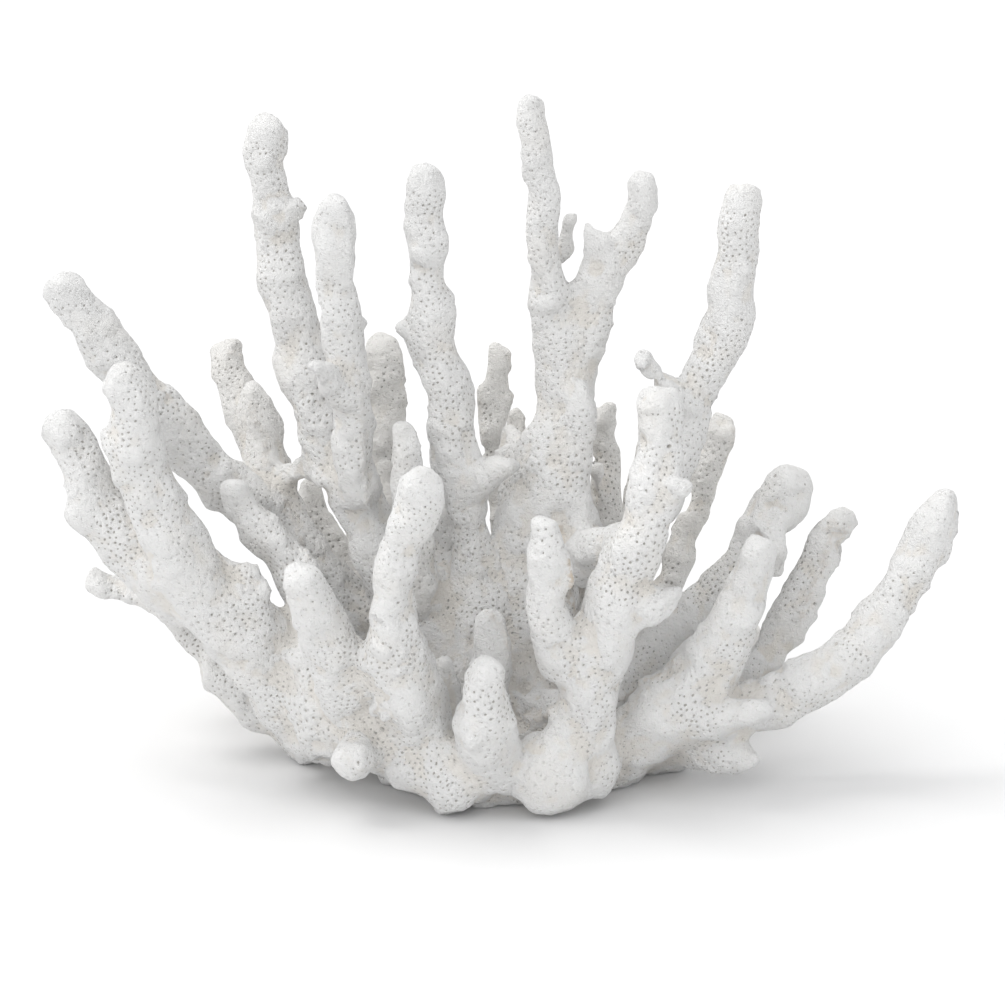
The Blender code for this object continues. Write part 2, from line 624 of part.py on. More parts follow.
def cut_away(whole, cutter):
    """Take a cutter out of the whole."""
    cutter.hide_render = True
    cutter.display_type = "WIRE"
    cut = whole.modifiers.new("cut", "BOOLEAN")
    cut.operation = "DIFFERENCE"
    cut.solver = "EXACT"
    cut.object = cutter
    mesh = finished(whole)
    bpy.data.objects.remove(cutter)
    whole = bpy.data.objects.new("whole", mesh)
    bpy.context.scene.collection.objects.link(whole)
    return whole


def surface(name, colour):
    """Matt white coral."""
    material = bpy.data.materials.new(name)
    material.use_nodes = True
    shader = material.node_tree.nodes["Principled BSDF"]
    shader.inputs["Base Color"].default_value = (*colour, 1.0)
    shader.inputs["Roughness"].default_value = 0.8
    shader.inputs["Metallic"].default_value = 0.0
    return material


def piece_names(shape, islands):
    """Which island is which limb: the skin nearest to the limb's own centre line."""
    owner = {}
    for number, island in enumerate(islands):
        for face in island:
            owner[face.index] = number
    skin = BVHTree.FromBMesh(shape)
    names = {owner[skin.find_nearest(Vector((0, 0, HUB_CENTRE_HEIGHT * MM)))[2]]: "base"}
    problems = []
    for name, limb in LIMBS.items():
        points = placed(limb["route"])
        middle = on_route(points, (limb["saw"] + len(points) - 1) / 2)[0]
        number = owner[skin.find_nearest(middle)[2]]
        if number in names:
            problems.append(f"{name} is still joined to {names[number]}")
        names.setdefault(number, name)
    if problems:
        raise RuntimeError("; ".join(problems))
    return names


def split_at_forks(whole):
    """One object for each limb, and one for the base."""
    shape = bmesh.new()
    shape.from_mesh(whole.data)
    bpy.data.objects.remove(whole)
    bmesh.ops.remove_doubles(shape, verts=shape.verts, dist=WELD * MM)
    bmesh.ops.triangulate(shape, faces=shape.faces)
    islands = [island for island in islands_of(shape) if volume_of(island) > CRUMB_VOLUME * MM ** 3]
    kept = {face for island in islands for face in island}
    crumbs = [face for face in shape.faces if face not in kept]
    bmesh.ops.delete(shape, geom=crumbs, context="FACES")
    shape.faces.index_update()
    shape.verts.index_update()
    shape.faces.ensure_lookup_table()
    shape.verts.ensure_lookup_table()
    names = piece_names(shape, islands)

    colony = bpy.data.objects.new("colony", None)
    bpy.context.scene.collection.objects.link(colony)
    for number, island in enumerate(islands):
        name = names.get(number)
        if name is None:
            raise RuntimeError(f"an island of {len(island)} faces has no name")
        corners = sorted({vertex.index for face in island for vertex in face.verts})
        place = {index: position for position, index in enumerate(corners)}
        mesh = bpy.data.meshes.new(name)
        mesh.from_pydata(
            [shape.verts[index].co for index in corners], [],
            [[place[vertex.index] for vertex in face.verts] for face in island],
        )
        piece = bpy.data.objects.new(name, mesh)
        bpy.context.scene.collection.objects.link(piece)
        piece.parent = colony
        colour = REAR_WHITE if name.startswith("rear") else FRONT_WHITE
        mesh.materials.append(surface(name + "_surface", colour))
    shape.free()


def build():
    for old in list(bpy.data.objects):
        bpy.data.objects.remove(old)
    whole = grown_whole()
    whole = cut_away(whole, rock())
    whole = cut_away(whole, saw())
    split_at_forks(whole)


if __name__ == "__main__":
    build()
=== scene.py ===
"""White branching coral, cut off flat where it grew: its skin, cups, colours, light and camera.

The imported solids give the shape. One soft skin is grown over them all, lumps and wrinkles
are pressed into it, small cups are sunk into it, and it is parted again at the forks, one
piece for each solid. Everything is in metres, +Z up, seen from -Y.
"""

import math

import bmesh
import bpy
import numpy as np
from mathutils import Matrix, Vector, noise
from mathutils.bvhtree import BVHTree
from mathutils.kdtree import KDTree

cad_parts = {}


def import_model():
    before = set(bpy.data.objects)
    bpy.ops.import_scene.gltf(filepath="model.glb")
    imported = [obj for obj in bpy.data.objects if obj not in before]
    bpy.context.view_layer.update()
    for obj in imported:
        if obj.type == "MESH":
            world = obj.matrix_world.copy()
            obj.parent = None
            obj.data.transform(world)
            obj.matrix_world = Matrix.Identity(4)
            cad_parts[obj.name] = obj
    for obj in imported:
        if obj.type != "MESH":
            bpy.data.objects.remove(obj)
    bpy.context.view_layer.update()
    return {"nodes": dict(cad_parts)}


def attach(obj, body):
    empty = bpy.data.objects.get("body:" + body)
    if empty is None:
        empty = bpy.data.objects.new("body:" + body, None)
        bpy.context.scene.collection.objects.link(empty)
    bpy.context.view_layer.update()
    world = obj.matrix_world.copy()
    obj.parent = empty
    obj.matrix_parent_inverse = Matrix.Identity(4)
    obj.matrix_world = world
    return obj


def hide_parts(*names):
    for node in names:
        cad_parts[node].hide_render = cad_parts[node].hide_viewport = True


MM = 0.001

# Growing one skin over the solids
WELD = 0.01 * MM
FULLER = 0.35 * MM
ROUGH_GRID = 1.5 * MM
FINE_GRID = 0.85 * MM
SOFTEN_PAIRS = 12
SOFTEN_IN = 0.5
SOFTEN_OUT = -0.53
FLAT_UNDER = 0.7 * MM

# Relief of the skin: how wide the forms are and how far they stand out
LUMP_WIDTH = 12.0 * MM
LUMP_HEIGHT = 1.9 * MM
PUCKER_WIDTH = 4.4 * MM
PUCKER_HEIGHT = 0.5 * MM
CRUMB_WIDTH = 2.2 * MM
CRUMB_HEIGHT = 0.28 * MM
WRINKLE_WIDTH = 3.4 * MM
WRINKLE_LENGTH = 17.0 * MM
WRINKLE_DEPTH = 0.5 * MM
WRINKLE_NARROWNESS = 3.0
WRINKLE_CONTRAST = 3.0
WRINKLE_SHIFT = Vector((7.0, 3.0, 5.0))
RELIEF_FULLER = 1.0 * MM
CRUST_WIDTH = 1.4 * MM
CRUST_HEIGHT = 0.5 * MM
CRUST_ON_EDGES = 0.6
CRUST_ON_ROUGH = 1.3

# Facets where the skin is chipped flat, small ones all over and a large one on each blunt tip
FACET_SEED = 5
FACET_SPACING = 6.5 * MM
FACET_REACH = 8.0 * MM
FACET_CUT = (0.15 * MM, 0.9 * MM)
FACET_TILT = 0.14
FACET_FACING = 0.25
FACET_DEEPEST = 2.0
FACET_FULL_CREST = 0.6 * MM
FACET_LEAST_CREST = 0.1 * MM
TIP_CREST = 1.0 * MM
TIP_SPACING = 9.0 * MM
TIP_REACH = 9.0 * MM
TIP_CUT = (1.6 * MM, 2.6 * MM)
TIP_TILT = 0.225
TIP_LONGER = 1.5
TIP_SEED = 17
TIP_BARE = (4.5 * MM, 7.5 * MM)
TIP_CRUST = 0.6
EVEN_PASSES = 32
EDGE_PASSES = 7
EDGE_CREST = 0.22 * MM

# Cells of the skin, each round a cup or plain
CUP_SPACING = 1.9 * MM
CUP_SPARSER = 0.9 * MM
PLAIN_SPACING = 1.4 * MM
PLAIN_SHARE = 0.85
EDGE_SPACING = 1.1 * MM
MARK_SPACING = 0.8 * MM
UNDERSIDE_SPACING = 3.5 * MM
CREST_PASSES = 40
CREST_BARE = 0.85 * MM
CREST_SPREAD = 0.25 * MM
BARE_PATCH_WIDTH = 21.0 * MM
BARE_PATCH_LEVEL = 0.16
BARE_FADE = 0.3
FINER_PATCHES = 0.3
FINER_PATCH_SHARE = 0.35
THINNING = 2.0
CUP_AT_PATCH = 0.45
CUP_SIZE = 0.95
CUP_SIZE_SHIFT = 0.5
CUP_SIZE_SPREAD = (0.7, 1.25)
SMALLEST_CUP = 0.4
LARGEST_CUP = 1.3
CUP_SIZE_WIDTH = 26.0 * MM
CUP_WIDTH = 0.70 * MM
CUP_DEPTH = 0.85 * MM
CUP_RIM = 0.06 * MM
CUP_FLOOR = 0.72
CUP_SEED = 11

# The camera, and the view that the marks on the skin are placed in: PIXEL is what one of its
# pixels covers at the colony's middle
EYE = Vector((-0.002, -1.16435, 0.39331))
EYE_TILT = math.radians(76.0)
EYE_DISTANCE = 1.2
PIXEL = 0.366 * MM
VIEW_MIDDLE = 502.5
SENSOR = 36.0
VIEW_REACH = 30.0

# Light: name, the direction it comes from, its spread in degrees, strength and colour
WORLD_COLOUR = (0.985, 0.99, 1.0, 1.0)
WORLD_STRENGTH = 0.94
LIGHTS = (
    ("top_light", (-0.6, 0.2, 1.25), 35.0, 1.25, (1.0, 0.99, 0.975)),
    ("side_light", (-0.9, -0.5, 0.85), 60.0, 0.5, (1.0, 0.99, 0.98)),
    ("front_fill", (-0.3, -1.0, 0.45), 50.0, 0.6, (1.0, 1.0, 1.0)),
)
FLOOR_HALF_WIDTH = 9.0

# Marks on the skin. Places are pixels of the view, right and down from its upper left
# corner. Sizes are in millimetres, except a ridge's height, which is in MARK_HEIGHTS.
MARK_HEIGHTS = 1.6 * MM
MARK_WIDTHS = 1.0 * MM
RIDGE_STEP = 0.8 * MM
RIDGE_REACH = 3.0
RIDGE_MIDDLE = 0.7
RIDGE_UNEVEN = 0.5
RIDGE_LENGTH = 9.0
RIDGE_FOOT = 0.02
RIDGE_BARE = 0.2
KNOB_BLUNTNESS = 1.6
KNOB_BARE = 0.4

# Raised seams, broken edges and wrinkles: height, half width, how brown, and the way they go
RIDGES = (
    (1.5, 1.1, 0.5, ((622, 697), (640, 686), (655, 682), (668, 671), (680, 660))),
    (1.6, 1.1, 0.4, ((516, 709), (526, 719), (537, 723), (548, 717), (558, 708))),
    (0.9, 0.9, 0.1, ((478, 470), (486, 505), (493, 545), (500, 585), (509, 618))),
    (0.8, 0.8, 0.1, ((489, 500), (498, 540), (508, 575), (514, 600))),
    (0.8, 0.8, 0.1, ((470, 505), (476, 540), (481, 575))),
    (1.0, 0.9, 1.0, ((559, 527), (566, 548), (567, 575), (568, 600), (574, 617))),
    (0.9, 0.9, 0.2, ((733, 428), (727, 455), (716, 480), (706, 505), (700, 540), (688, 575))),
    (1.0, 0.9, 0.3, ((792, 664), (775, 666), (757, 676), (742, 688), (728, 700))),
    (1.1, 0.9, 0.4, ((832, 520), (827, 545), (822, 562), (812, 590), (800, 620))),
    (1.0, 0.9, 0.4, ((823, 524), (831, 530), (838, 527), (846, 533))),
    (0.9, 0.9, 0.3, ((283, 500), (291, 520), (299, 540), (305, 560))),
    (1.0, 0.9, 0.3, ((250, 405), (258, 425), (268, 440), (262, 458), (270, 470))),
    (1.1, 0.9, 0.3, ((224, 357), (232, 354), (240, 358))),
    (0.9, 0.9, 0.2, ((352, 372), (358, 400), (360, 430), (362, 470), (366, 505))),
    (0.9, 0.8, 0.2, ((300, 215), (303, 240), (309, 262))),
    (0.9, 0.8, 0.1, ((395, 350), (402, 375), (404, 405))),
    (0.8, 0.8, 0.2, ((489, 345), (484, 380), (483, 415), (487, 440))),
    (0.8, 0.8, 0.2, ((505, 350), (508, 385), (509, 415))),
    (0.9, 0.9, 0.2, ((598, 405), (596, 430), (595, 455))),
    (0.8, 0.8, 0.1, ((612, 300), (607, 330), (600, 350), (597, 375))),
    (0.9, 0.8, 0.3, ((466, 625), (467, 640), (466, 655), (465, 668))),
    (0.9, 0.8, 0.3, ((484, 612), (495, 620), (504, 634), (505, 655))),
    (1.0, 0.9, 0.2, ((345, 755), (352, 764), (362, 768), (371, 762))),
    (0.8, 0.8, 0.3, ((262, 640), (280, 655), (296, 668), (306, 690))),
)

# Hollows: depth, radius and place
HOLLOWS = (
    (2.6, 4.0, (752, 684)), (2.8, 4.6, (766, 678)), (2.2, 3.6, (781, 671)),
    (1.8, 2.2, (383, 728)), (2.4, 5.0, (538, 700)), (2.0, 4.5, (525, 690)),
    (1.0, 2.4, (686, 482)), (0.9, 3.0, (390, 590)), (1.4, 3.4, (640, 632)),
    (1.2, 3.0, (330, 383)), (1.2, 3.4, (300, 600)), (1.0, 3.0, (645, 400)),
)

# Knobs: height, radius and place
KNOBS = (
    (3.4, 2.9, (379, 708)), (2.8, 2.3, (388, 714)), (1.2, 4.2, (383, 650)), (1.1, 3.0, (672, 482)),
    (1.3, 4.5, (133, 455)), (1.0, 3.4, (357, 222)), (1.2, 3.6, (72, 490)), (1.1, 3.6, (150, 500)),
    (1.0, 3.4, (742, 268)), (1.3, 3.6, (470, 742)), (1.2, 4.0, (506, 728)), (1.1, 3.6, (419, 255)),
    (1.0, 3.0, (786, 545)), (1.1, 3.4, (276, 205)), (1.0, 3.2, (263, 160)), (1.2, 3.8, (240, 590)),
)

# Finely wrinkled places without cups: radius and place
ROUGH_PLACES = (
    (9.0, (440, 640)), (8.0, (430, 600)), (7.0, (448, 690)), (7.0, (528, 680)), (6.0, (545, 655)),
    (6.0, (655, 620)), (5.0, (360, 745)), (6.0, (270, 450)), (5.0, (398, 480)), (6.0, (830, 540)),
    (4.0, (745, 765)), (7.0, (700, 640)),
)

# Worn smooth places without cups: radius and place
SMOOTH_PLACES = (
    (6.0, (598, 640)), (7.0, (575, 690)), (6.0, (560, 740)), (5.0, (592, 600)), (5.0, (640, 470)),
    (6.0, (655, 430)), (6.0, (745, 560)), (5.0, (735, 600)), (6.0, (870, 640)), (5.0, (925, 520)),
    (5.0, (905, 560)), (7.0, (488, 640)), (6.0, (485, 670)), (6.0, (405, 700)), (5.0, (390, 630)),
    (5.0, (545, 600)), (5.0, (740, 700)), (5.0, (655, 605)), (5.0, (115, 385)), (5.0, (75, 290)),
    (5.0, (200, 560)), (5.0, (298, 580)), (5.0, (270, 135)), (5.0, (337, 212)), (5.0, (426, 180)),
    (4.0, (532, 105)), (4.0, (640, 190)), (5.0, (740, 200)), (5.0, (420, 490)), (5.0, (240, 490)),
)

# Larger holes: how many times a cup's size, and place
HOLES = ((2.3, (383, 727)), (2.0, (668, 448)), (1.9, (838, 646)), (1.6, (777, 477)), (1.5, (432, 683)))
HOLE_SPACING = 3.2 * MM

# Mending the net of cells, and parting the skin at the forks
MENDING_ROUNDS = 4
VOTING_ROUNDS = 3
SMALLEST_ISLAND = 40
BASE_PARTING_PLANE = 6.0 * MM

# Finishes: their colours, and how wide their clouds and grains are
CHALK_DIMMER = (0.9, 0.895, 0.885, 1.0)
CHALK_LIGHTER = (0.92, 0.92, 0.915, 1.0)
CHALK_BEHIND = (0.9, 0.875, 0.83, 1.0)
# Painted shade in the hollows, partly a cream stain; also the colour of the cloudy cream stains
CREAM_STAIN_AND_HOLLOW_SHADE = (0.86, 0.80, 0.71, 1.0)
SPECK_GREY = (0.6, 0.58, 0.55, 1.0)
SEAM_BROWN = (0.64, 0.54, 0.42, 1.0)
# The cups' lining: painted shade inside the cups, with some dust
LINING_SHADE_DARKER = (0.46, 0.445, 0.42, 1.0)
LINING_SHADE_LIGHTER = (0.74, 0.725, 0.70, 1.0)
FLOOR_DIMMER = (0.755, 0.755, 0.755, 1.0)
FLOOR_LIGHTER = (0.765, 0.765, 0.765, 1.0)
CLOUD_WIDTH = 22.0 * MM
GRAIN_WIDTH = 0.7 * MM
GRIT_WIDTH = 2.4 * MM
SPECK_SPACING = 2.1 * MM
BUMP_HEIGHT = 1.6 * MM
LINING_CLOUD_WIDTH = 9.0 * MM
FLOOR_CLOUD_WIDTH = 0.4


class Wire:
    """A node's socket that plain Python arithmetic can be written with."""

    def __init__(self, sheet, socket):
        self.sheet = sheet
        self.socket = socket

    def maths(self, operation, first, second):
        return self.sheet.node(
            self.sheet.maths_node, {"operation": operation}, {0: first, 1: second}
        )

    def __add__(self, other):
        return self.maths("ADD", self, other)

    def __radd__(self, other):
        return self.maths("ADD", other, self)

    def __sub__(self, other):
        return self.maths("SUBTRACT", self, other)

    def __rsub__(self, other):
        return self.maths("SUBTRACT", other, self)

    def __mul__(self, other):
        return self.maths("MULTIPLY", self, other)

    def __rmul__(self, other):
        return self.maths("MULTIPLY", other, self)

    def __truediv__(self, other):
        return self.maths("DIVIDE", self, other)

    def __rtruediv__(self, other):
        return self.maths("DIVIDE", other, self)

    def __pow__(self, other):
        return self.maths("POWER", self, other)

    def over(self, other):
        return self.maths("GREATER_THAN", self, other)


class Sheet:
    """A node tree that is written in Python, for a material or for geometry."""

    def __init__(self, tree, maths_node="ShaderNodeMath"):
        self.tree = tree
        self.maths_node = maths_node

    def node(self, kind, settings=None, sockets=None, out=0):
        made = self.tree.nodes.new(kind)
        for name, value in (settings or {}).items():
            setattr(made, name, value)
        for name, value in (sockets or {}).items():
            if isinstance(value, Wire):
                self.tree.links.new(value.socket, made.inputs[name])
            else:
                made.inputs[name].default_value = value
        if not made.outputs:
            return made
        return Wire(self, made.outputs[out])

    def other(self, wire, out):
        """Another output of the node that a wire comes from."""
        return Wire(self, wire.socket.node.outputs[out])


def points_of(mesh):
    flat = np.empty(len(mesh.vertices) * 3, np.float64)
    mesh.vertices.foreach_get("co", flat)
    return flat.reshape(-1, 3)


def set_points(mesh, points):
    mesh.vertices.foreach_set("co", points.ravel())
    mesh.update()


def normals_of(mesh):
    flat = np.empty(len(mesh.vertices) * 3, np.float64)
    mesh.vertices.foreach_get("normal", flat)
    return flat.reshape(-1, 3)


def triangles_of(mesh):
    mesh.calc_loop_triangles()
    flat = np.empty(len(mesh.loop_triangles) * 3, np.int64)
    mesh.loop_triangles.foreach_get("vertices", flat)
    return flat.reshape(-1, 3)


def edges_of(triangles):
    """The different edges of the triangles, lower vertex first."""
    pairs = np.concatenate([triangles[:, [0, 1]], triangles[:, [1, 2]], triangles[:, [2, 0]]])
    pairs.sort(axis=1)
    return np.unique(pairs, axis=0)


def added_up(values, places, count):
    return np.stack([np.bincount(places, values[:, axis], count) for axis in range(3)], axis=1)


def softened(points, edges, shares):
    """Each point drawn towards the middle of its neighbours by each share in turn."""
    count = len(points)
    first = edges[:, 0]
    second = edges[:, 1]
    neighbours = np.bincount(first, minlength=count) + np.bincount(second, minlength=count)
    neighbours = np.maximum(neighbours, 1)[:, None]
    for share in shares:
        middle = added_up(points[second], first, count) + added_up(points[first], second, count)
        points = points + share * (middle / neighbours - points)
    return points


def evaluated(obj, name):
    """The mesh that an object's modifiers give, as a plain mesh."""
    reading = bpy.context.evaluated_depsgraph_get()
    mesh = bpy.data.meshes.new_from_object(obj.evaluated_get(reading), depsgraph=reading)
    mesh.name = name
    return mesh


def scratch_object(mesh):
    made = bpy.data.objects.new(mesh.name, mesh)
    bpy.context.scene.collection.objects.link(made)
    return made


def regridded(mesh, grid):
    """The same closed shape in even squares as wide as the grid."""
    carrier = scratch_object(mesh)
    remesh = carrier.modifiers.new("regrid", "REMESH")
    remesh.mode = "VOXEL"
    remesh.voxel_size = grid
    made = evaluated(carrier, mesh.name)
    bpy.data.objects.remove(carrier)
    bpy.data.meshes.remove(mesh)
    return made


def solids_together(nodes):
    """All solids in one mesh, each a little fuller, so that the saw cuts between them close."""
    together = bmesh.new()
    for name in sorted(nodes):
        solid = bmesh.new()
        solid.from_mesh(nodes[name].data)
        bmesh.ops.remove_doubles(solid, verts=solid.verts, dist=WELD)
        solid.normal_update()
        for vert in solid.verts:
            vert.co += vert.normal * FULLER
        mesh = bpy.data.meshes.new(name)
        solid.to_mesh(mesh)
        solid.free()
        together.from_mesh(mesh)
        bpy.data.meshes.remove(mesh)
    made = bpy.data.meshes.new("colony")
    together.to_mesh(made)
    together.free()
    return made


def soft_skin(nodes):
    """One closed soft skin over the whole colony, in a fine even grid."""
    rough = regridded(solids_together(nodes), ROUGH_GRID)
    edges = edges_of(triangles_of(rough))
    shares = [SOFTEN_IN, SOFTEN_OUT] * SOFTEN_PAIRS
    set_points(rough, softened(points_of(rough), edges, shares))
    return regridded(rough, FINE_GRID)


def relief_at(point):
    """How far the skin stands out at a point: lumps, puckers, crumbs and a few wrinkles."""
    lump = noise.noise(point / LUMP_WIDTH) * LUMP_HEIGHT
    pucker = noise.noise(point / PUCKER_WIDTH) * PUCKER_HEIGHT
    crumb = noise.noise(point / CRUMB_WIDTH) * CRUMB_HEIGHT
    stretched = Vector((point.x / WRINKLE_WIDTH, point.y / WRINKLE_WIDTH, point.z / WRINKLE_LENGTH))
    wrinkle = max(0.0, 1.0 - abs(noise.noise(stretched)) * WRINKLE_NARROWNESS)
    share = min(1.0, max(0.0, noise.noise(point / LUMP_WIDTH + WRINKLE_SHIFT) * WRINKLE_CONTRAST))
    return RELIEF_FULLER + lump + pucker + crumb - WRINKLE_DEPTH * wrinkle * share


def crests_of(points, normals, edges, passes):
    """How far each point stands above its surroundings: high on tips, low in hollows."""
    around = softened(points, edges, [SOFTEN_IN] * passes)
    return ((points - around) * normals).sum(axis=1)


def spaced(order, tree, points, spacing):
    """Places in the given order, leaving out any that is nearer than the spacing to one before."""
    taken = np.zeros(len(points), bool)
    kept = []
    for place in order:
        if taken[place]:
            continue
        for _, near, _ in tree.find_range(points[place], spacing):
            taken[near] = True
        kept.append(place)
    return kept


def tree_of(points):
    tree = KDTree(len(points))
    for place, point in enumerate(points):
        tree.insert(point, place)
    tree.balance()
    return tree


def chip_flat(points, normals, tree, start, facing, cut, reach):
    """Takes off what stands out past a plane laid a little under the skin at one place."""
    near = np.array([place for _, place, _ in tree.find_range(start, reach)])
    standing = (points[near] - start) @ facing + cut
    standing = np.where(normals[near] @ facing > FACET_FACING, standing, 0.0)
    points[near] -= np.clip(standing, 0.0, FACET_DEEPEST * cut)[:, None] * facing


def tilted(direction, tilt, chance):
    turned = direction + chance.normal(0.0, tilt, 3)
    return turned / np.linalg.norm(turned)


def chipped(points, normals, edges):
    """Chips facets into the skin: blunt ends on the tips first, then small ones all over."""
    chance = np.random.default_rng(FACET_SEED)
    crests = crests_of(points, normals, edges, CREST_PASSES)
    even = softened(normals, edges, [SOFTEN_IN] * EVEN_PASSES)
    even /= np.linalg.norm(even, axis=1)[:, None]
    points = points + normals * (TIP_LONGER * np.clip(crests - TIP_CREST, 0.0, None))[:, None]
    tree = tree_of(points)
    high = [place for place in np.argsort(-crests) if crests[place] > TIP_CREST]
    tips = spaced(high, tree, points, TIP_SPACING)
    for place in tips:
        facing = tilted(even[place], TIP_TILT, chance)
        cut = chance.uniform(*TIP_CUT)
        chip_flat(points, normals, tree, points[place].copy(), facing, cut, TIP_REACH)
    for place in spaced(chance.permutation(len(points)), tree, points, FACET_SPACING):
        facing = tilted(even[place], FACET_TILT, chance)
        share = min(1.0, FACET_FULL_CREST / max(crests[place], FACET_LEAST_CREST))
        cut = chance.uniform(*FACET_CUT) * share
        chip_flat(points, normals, tree, points[place].copy(), facing, cut, FACET_REACH)
    return points, tips


def place_on(skin, pixel):
    """The place on the skin that shows at a pixel of the view, or None."""
    across = (pixel[0] - VIEW_MIDDLE) * PIXEL
    up = (VIEW_MIDDLE - pixel[1]) * PIXEL
    ahead = Vector((0.0, math.sin(EYE_TILT), -math.cos(EYE_TILT)))
    rise = Vector((0.0, math.cos(EYE_TILT), math.sin(EYE_TILT)))
    sight = ahead * EYE_DISTANCE + Vector((across, 0.0, 0.0)) + rise * up
    return skin.ray_cast(EYE, sight.normalized())[0]


def along(way):
    """Pixels in small steps along a way."""
    for start, end in zip(way, way[1:]):
        length = math.dist(start, end) * PIXEL
        steps = max(1, round(length / RIDGE_STEP))
        for step in range(steps):
            share = step / steps
            yield (start[0] + (end[0] - start[0]) * share, start[1] + (end[1] - start[1]) * share)
    yield way[-1]


class Marks:
    """What is raised, sunk, wrinkled, worn smooth or browned at each point of the skin."""

    def __init__(self, mesh):
        self.points = points_of(mesh)
        count = len(self.points)
        self.tree = tree_of(self.points)
        self.skin = BVHTree.FromPolygons(self.points.tolist(), triangles_of(mesh).tolist())
        self.lift = np.zeros(count)
        self.sink = np.zeros(count)
        self.rough = np.zeros(count)
        self.worn = np.zeros(count, bool)
        self.brown = np.zeros(count)
        self.fine = np.zeros(count, bool)
        self.sharp = np.zeros(count, bool)
        self.holes = []

    def near(self, pixel, reach):
        """The points round a marked place, and how far each is from it."""
        place = place_on(self.skin, pixel)
        if place is None:
            return np.zeros(0, np.int64), np.zeros(0)
        found = self.tree.find_range(place, reach)
        return np.array([item[1] for item in found], np.int64), np.array([item[2] for item in found])

    def ridge(self, height, width, brown, way):
        width = width * MARK_WIDTHS
        for pixel in along(way):
            near, apart = self.near(pixel, RIDGE_REACH * width)
            shape = np.exp(-((apart / width) ** 2))
            place = Vector((pixel[0], pixel[1], 0.0))
            broken = RIDGE_MIDDLE + RIDGE_UNEVEN * noise.noise(place / RIDGE_LENGTH)
            self.lift[near] = np.maximum(self.lift[near], height * MARK_HEIGHTS * broken * shape)
            self.brown[near] = np.maximum(self.brown[near], brown * shape)
            self.sharp[near] |= shape > RIDGE_FOOT
            self.worn[near] |= shape > RIDGE_BARE

    def hollow(self, depth, radius, pixel):
        radius = radius * MARK_WIDTHS
        near, apart = self.near(pixel, radius)
        shape = (1.0 - (apart / radius) ** 2) ** 2
        self.sink[near] = np.maximum(self.sink[near], depth * MM * shape)
        self.sharp[near] = True
        self.worn[near] = True

    def knob(self, height, radius, pixel):
        radius = radius * MARK_WIDTHS
        near, apart = self.near(pixel, radius)
        shape = np.clip(KNOB_BLUNTNESS * (1.0 - (apart / radius) ** 2), 0.0, 1.0)
        self.lift[near] = np.maximum(self.lift[near], height * MM * shape)
        self.sharp[near] = True
        self.worn[near] |= shape > KNOB_BARE

    def wrinkled(self, radius, pixel):
        radius = radius * MARK_WIDTHS
        near, apart = self.near(pixel, radius)
        self.rough[near] = np.maximum(self.rough[near], 1.0 - (apart / radius) ** 2)
        self.fine[near] = True
        self.worn[near] = True

    def smooth(self, radius, pixel):
        near, _ = self.near(pixel, radius * MARK_WIDTHS)
        self.worn[near] = True

    def hole(self, size, pixel):
        place = place_on(self.skin, pixel)
        if place is not None:
            self.holes.append((self.tree.find(place)[1], size))

    def bare_tips(self, tips):
        """Wears the blunt ends smooth, some further down than others, with a crusty rim."""
        chance = np.random.default_rng(TIP_SEED)
        for place in tips:
            reach = chance.uniform(*TIP_BARE)
            for _, near, apart in self.tree.find_range(self.points[place], reach):
                self.worn[near] = True
                self.fine[near] = True
                self.rough[near] = max(self.rough[near], TIP_CRUST * apart / reach)


def marks_on(mesh):
    """All marks, each found on the skin where the view shows it."""
    marks = Marks(mesh)
    for height, width, brown, way in RIDGES:
        marks.ridge(height, width, brown, way)
    for depth, radius, pixel in HOLLOWS:
        marks.hollow(depth, radius, pixel)
    for height, radius, pixel in KNOBS:
        marks.knob(height, radius, pixel)
    for radius, pixel in ROUGH_PLACES:
        marks.wrinkled(radius, pixel)
    for radius, pixel in SMOOTH_PLACES:
        marks.smooth(radius, pixel)
    for size, pixel in HOLES:
        marks.hole(size, pixel)
    return marks


def pressed(mesh):
    """Chips, marks and presses the skin, and flattens the cut that the colony stands on."""
    edges = edges_of(triangles_of(mesh))
    points = points_of(mesh)
    flat = points[:, 2] < FLAT_UNDER
    blunted, tips = chipped(points, normals_of(mesh), edges)
    set_points(mesh, blunted)
    marks = marks_on(mesh)
    marks.bare_tips(tips)
    normals = normals_of(mesh)
    edgy = np.clip(crests_of(marks.points, normals, edges, EDGE_PASSES) / EDGE_CREST, 0.0, 1.0)
    places = [Vector(point) for point in marks.points]
    heights = np.array([relief_at(place) for place in places])
    crust = np.array([noise.noise(place / CRUST_WIDTH) for place in places])
    heights += crust * CRUST_HEIGHT * np.maximum(CRUST_ON_EDGES * edgy, CRUST_ON_ROUGH * marks.rough)
    points = marks.points + normals * (heights + marks.lift - marks.sink)[:, None]
    points[:, 2] = np.where(flat | (points[:, 2] < FLAT_UNDER), 0.0, points[:, 2])
    set_points(mesh, points)
    return marks


